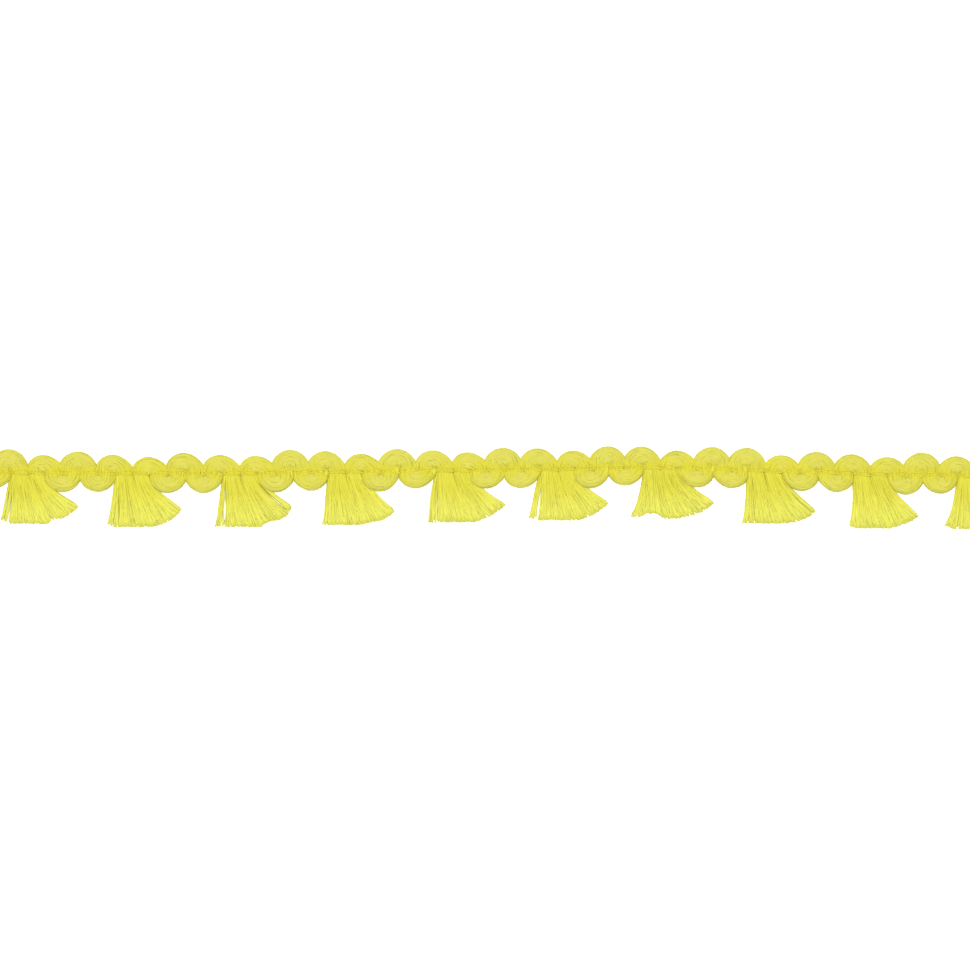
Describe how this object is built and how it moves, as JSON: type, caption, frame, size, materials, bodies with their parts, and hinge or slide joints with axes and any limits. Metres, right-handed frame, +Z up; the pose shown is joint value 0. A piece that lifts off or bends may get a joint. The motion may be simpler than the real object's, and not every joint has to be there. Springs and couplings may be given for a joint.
{
  "type": "tassel fringe trim",
  "caption": "Flat sew-on trim: a braid of thick soft yarn in round lobes, with short cut tassels that fan out to one side along its lower edge.",
  "frame": {"origin": "middle of the trim's footprint on the surface that it lies on", "axes": "+X along the trim, +Y across it from the tassels' cut ends towards the lobed upper edge, +Z up through its face"},
  "size_m": [0.1861, 0.0138, 0.0024],
  "materials": {
    "braid_yarn": "soft matt acrylic yarn, lemon yellow",
    "tassel_yarn": "brushed-out cut ends of the same lemon yellow yarn"
  },
  "bodies": {
    "root": {"braid": "braid_yarn", "tassel_01": "tassel_yarn", "tassel_02": "tassel_yarn", "tassel_03": "tassel_yarn", "tassel_04": "tassel_yarn", "tassel_05": "tassel_yarn", "tassel_06": "tassel_yarn", "tassel_07": "tassel_yarn", "tassel_08": "tassel_yarn", "tassel_09": "tassel_yarn", "tassel_10": "tassel_yarn"}
  },
  "joints": []
}
